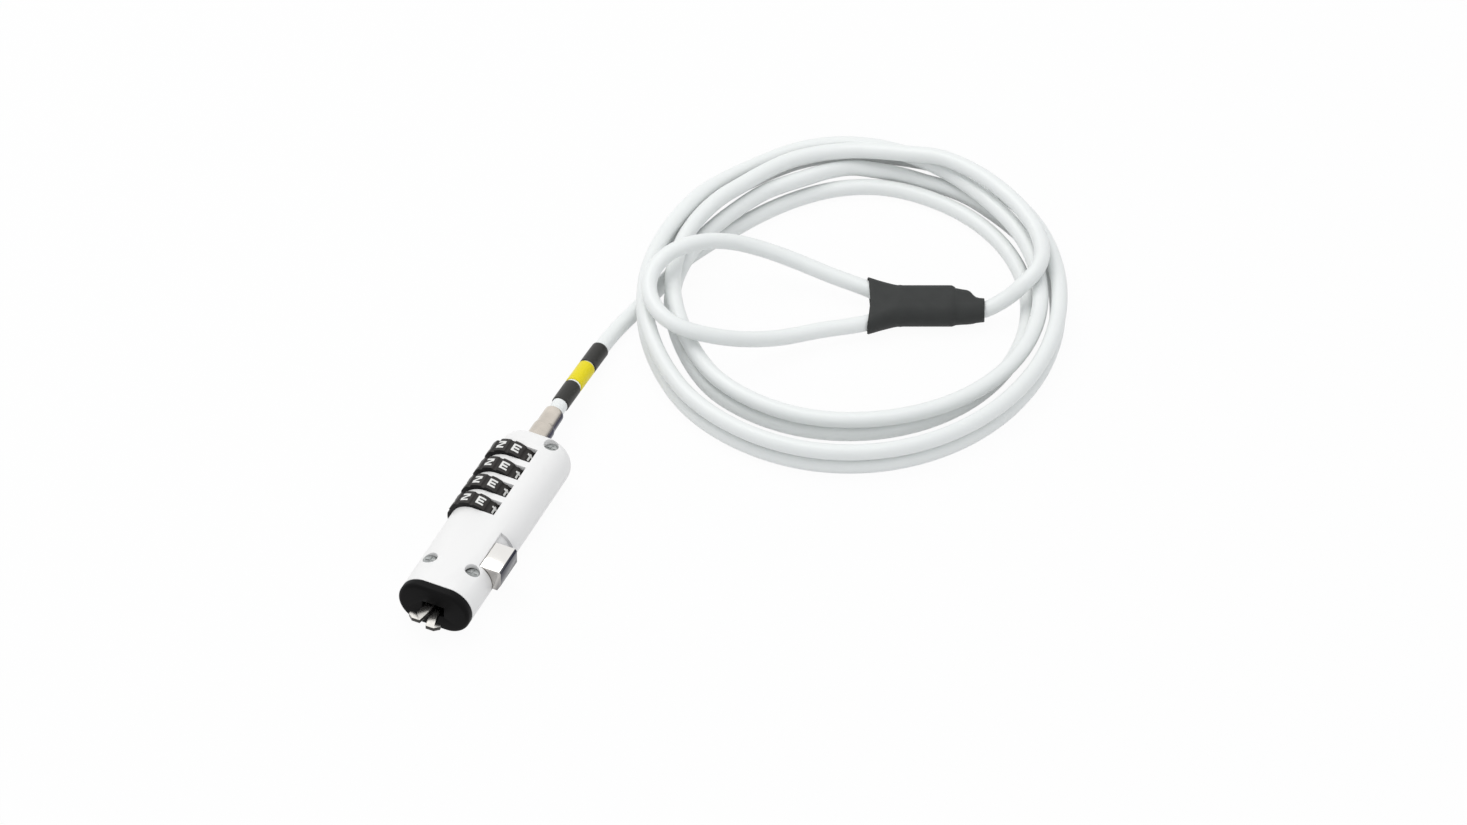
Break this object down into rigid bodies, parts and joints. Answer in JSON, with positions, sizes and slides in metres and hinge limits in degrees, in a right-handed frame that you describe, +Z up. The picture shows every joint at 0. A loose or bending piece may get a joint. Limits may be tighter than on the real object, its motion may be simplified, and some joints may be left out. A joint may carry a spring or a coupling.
{
  "type": "laptop cable lock",
  "caption": "Combination cable lock with number dials, slide button, hook claws for a laptop security slot, and a coiled steel cable with an eye.",
  "frame": {"origin": "middle of the lock body's box, without its cable, on the surface that the lock lies on", "axes": "+Z up, -Y out of the front cap along the claws, +X towards the slide button"},
  "size_m": [0.1235, 0.2275, 0.0225],
  "materials": {
    "white_paint": "satin white paint on die-cast zinc",
    "black_plastic": "smooth moulded black plastic",
    "dial_black": "moulded black plastic with white printed numbers",
    "steel": "punched and turned steel",
    "chrome": "polished chrome plate",
    "white_vinyl": "smooth glossy white vinyl",
    "band_black": "printed black band",
    "band_yellow": "printed yellow band",
    "crimp_metal": "pressed aluminium",
    "shrink_rubber": "dull dark grey heat-shrink sleeve"
  },
  "bodies": {
    "cable": {"swivel_stub": "chrome", "band_front": "band_black", "band_middle": "band_yellow", "band_rear": "band_black", "cable_lead": "white_vinyl", "cable_coil": "white_vinyl", "cable_tail": "white_vinyl", "cable_eye": "white_vinyl", "crimp_ferrule": "crimp_metal", "shrink_sleeve": "shrink_rubber"},
    "housing": {"upper_shell": "white_paint", "lower_shell": "white_paint", "front_cap": "black_plastic", "case_screws": "steel", "front_end_plate": "steel", "rear_end_plate": "steel", "dial_shaft": "steel", "spacer_washers": "steel", "detent_spring": "steel", "return_spring": "steel", "claw_pivot_pin": "steel"},
    "number_wheel_1": {"dial_1": "dial_black", "code_ring_1": "steel"},
    "number_wheel_2": {"dial_2": "dial_black", "code_ring_2": "steel"},
    "number_wheel_3": {"dial_3": "dial_black", "code_ring_3": "steel"},
    "number_wheel_4": {"dial_4": "dial_black", "code_ring_4": "steel"},
    "slider": {"slide_button": "chrome", "slide_plate": "steel"},
    "comb": {"locking_comb": "steel"},
    "left_claw": {"claw_left": "steel"},
    "right_claw": {"claw_right": "steel"}
  },
  "joints": [
    {"name": "cable_swivel", "type": "hinge", "parent": "cable", "child": "housing", "pos_m": [-0.00345, 0.03725, 0.007], "axis": [0, 1, 0], "continuous": true},
    {"name": "dial_1_spin", "type": "hinge", "parent": "housing", "child": "number_wheel_1", "pos_m": [-0.00515, 0.00555, 0.0076], "axis": [0, 1, 0], "continuous": true},
    {"name": "dial_2_spin", "type": "hinge", "parent": "housing", "child": "number_wheel_2", "pos_m": [-0.00515, 0.01305, 0.0076], "axis": [0, 1, 0], "continuous": true},
    {"name": "dial_3_spin", "type": "hinge", "parent": "housing", "child": "number_wheel_3", "pos_m": [-0.00515, 0.02055, 0.0076], "axis": [0, 1, 0], "continuous": true},
    {"name": "dial_4_spin", "type": "hinge", "parent": "housing", "child": "number_wheel_4", "pos_m": [-0.00515, 0.02805, 0.0076], "axis": [0, 1, 0], "continuous": true},
    {"name": "button_slide", "type": "slide", "parent": "housing", "child": "slider", "axis": [0, 1, 0], "range_m": [0, 0.003], "stiffness_N_per_m": 250, "springref_m": -0.002, "deforming": ["return_spring"]},
    {"name": "comb_slide", "type": "slide", "parent": "housing", "child": "comb", "axis": [-1, 0, 0], "range_m": [0, 0.001]},
    {"name": "right_claw_turn", "type": "hinge", "parent": "housing", "child": "right_claw", "pos_m": [-0.00075, -0.02525, 0.00635], "axis": [0, 0, 1], "range_deg": [-14, 0]},
    {"name": "left_claw_turn", "type": "hinge", "parent": "housing", "child": "left_claw", "pos_m": [-0.00075, -0.02525, 0.00765], "axis": [0, 0, 1], "range_deg": [0, 14]}
  ],
  "couplings": [
    {"joint": "comb_slide", "follows": "button_slide", "ratio": 0.33333},
    {"joint": "right_claw_turn", "follows": "button_slide", "rad_per_m": -81.4},
    {"joint": "left_claw_turn", "follows": "button_slide", "rad_per_m": 81.4}
  ]
}
